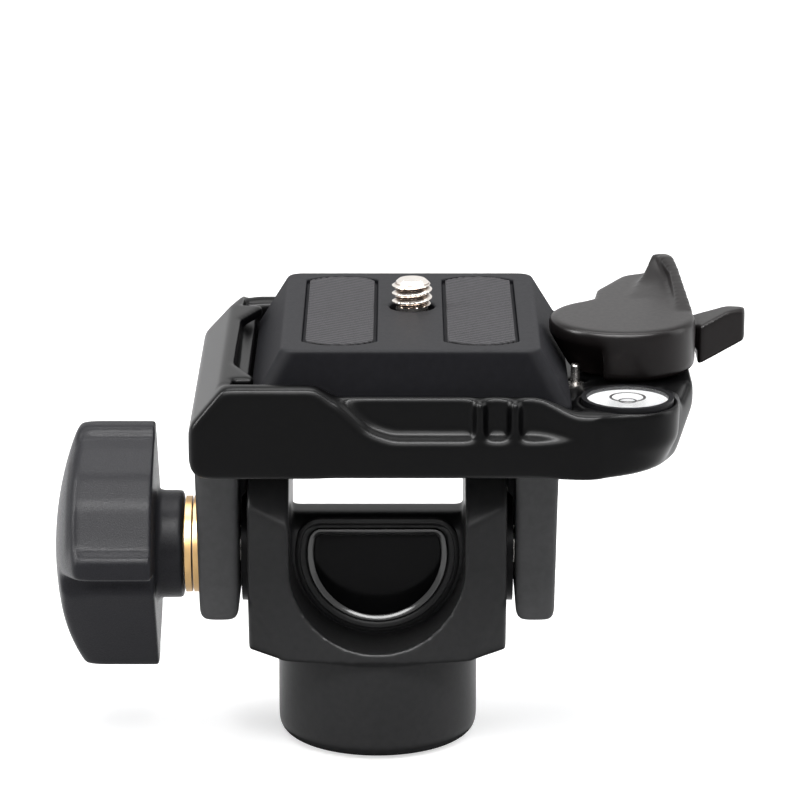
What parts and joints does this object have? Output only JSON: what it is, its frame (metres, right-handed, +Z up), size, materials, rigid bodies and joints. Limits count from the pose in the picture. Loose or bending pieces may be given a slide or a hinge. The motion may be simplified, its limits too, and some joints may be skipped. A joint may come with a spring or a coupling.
{
  "type": "two-way pan tilt head",
  "caption": "Fork-shaped head that tilts on a clamped axis and carries a quick-release camera plate held by a cam lever, with a round bubble level.",
  "frame": {"origin": "centre of the base's bottom face, on the axis of its threaded hole", "axes": "+Z up along the base's threaded hole, +X towards the quick-release lever, -Y towards the front as pictured"},
  "size_m": [0.11, 0.0635, 0.0741],
  "materials": {
    "casting_black": "fine satin black coat on a cast alloy",
    "knob_black": "finely grained moulded plastic",
    "plate_black": "matt black coat",
    "pad_rubber": "ribbed rubber",
    "inlay_gloss": "polished black plastic, left blank",
    "steel": "turned and plated",
    "spring_steel": "drawn wire",
    "brass": "turned",
    "bush_plastic": "low-friction plastic",
    "lever_black": "satin black coat",
    "dial_white": "white with printed rings",
    "level_liquid": "clear liquid",
    "level_lens": "clear moulded lens"
  },
  "bodies": {
    "base": {"base_casting": "casting_black", "base_thread_insert": "steel", "inlay_disc": "inlay_gloss", "tilt_bush_left": "bush_plastic", "tilt_bush_right": "bush_plastic", "friction_washer_left": "bush_plastic", "friction_washer_right": "bush_plastic"},
    "platform": {"platform_casting": "casting_black", "clamp_bolt": "steel", "brass_thrust_washer": "brass", "bubble_cup": "knob_black", "bubble_dial": "dial_white", "bubble_liquid": "level_liquid", "air_bubble": "level_lens", "bubble_lens": "level_lens", "lever_spring": "spring_steel", "hold_open_spring": "spring_steel", "hold_open_plug": "knob_black"},
    "spacer": {"brass_spacer_washer": "brass"},
    "knob": {"clamp_knob": "knob_black", "knob_insert": "brass"},
    "lever": {"release_lever": "lever_black", "lever_pivot_pin": "steel", "lever_pivot_washer": "steel", "lever_pivot_clip": "spring_steel", "catch_pivot_pin": "steel", "catch_pivot_clip": "spring_steel", "catch_spring": "spring_steel"},
    "catch": {"safety_catch": "lever_black"},
    "hold_pin": {"hold_open_pin": "steel"},
    "plate": {"quick_release_plate": "plate_black", "plate_pad_left": "pad_rubber", "plate_pad_right": "pad_rubber", "screw_retaining_ring": "spring_steel"},
    "screw": {"camera_screw": "steel"}
  },
  "joints": [
    {"name": "head_tilt", "type": "hinge", "parent": "base", "child": "platform", "pos_m": [0, 0, 0.031], "axis": [1, 0, 0], "range_deg": [-90, 90]},
    {"name": "knob_travel", "type": "slide", "parent": "platform", "child": "spacer", "axis": [-1, 0, 0], "range_m": [0, 0.001]},
    {"name": "knob_turn", "type": "hinge", "parent": "spacer", "child": "knob", "pos_m": [-0.043, 0, 0.031], "axis": [-1, 0, 0], "range_deg": [0, 360]},
    {"name": "lever_swing", "type": "hinge", "parent": "platform", "child": "lever", "pos_m": [0.041, -0.00633, 0.065], "axis": [0, 0, -1], "range_deg": [0, 80], "stiffness_Nm_per_rad": 0.05, "springref_deg": -20.05, "deforming": ["lever_spring"]},
    {"name": "plate_tip", "type": "hinge", "parent": "platform", "child": "plate", "pos_m": [-0.0194, 0, 0.063], "axis": [0, -1, 0], "range_deg": [0, 9.5]},
    {"name": "hold_pin_rise", "type": "slide", "parent": "platform", "child": "hold_pin", "axis": [0, 0, 1], "range_m": [0, 0.002], "deforming": ["hold_open_spring"]},
    {"name": "catch_squeeze", "type": "hinge", "parent": "lever", "child": "catch", "pos_m": [0.0468, 0.0094, 0.0641], "axis": [0, 0, 1], "range_deg": [0, 12], "stiffness_Nm_per_rad": 0.03, "springref_deg": -11.46, "deforming": ["catch_spring"]},
    {"name": "camera_screw_turn", "type": "hinge", "parent": "plate", "child": "screw", "pos_m": [0.0055, 0.002, 0.0697], "axis": [0, 0, 1], "continuous": true}
  ],
  "couplings": [
    {"joint": "knob_travel", "follows": "knob_turn", "m_per_rad": 0.000159},
    {"joint": "plate_tip", "follows": "lever_swing", "ratio": 0.1187},
    {"joint": "hold_pin_rise", "follows": "lever_swing", "m_per_rad": 0.001432}
  ]
}
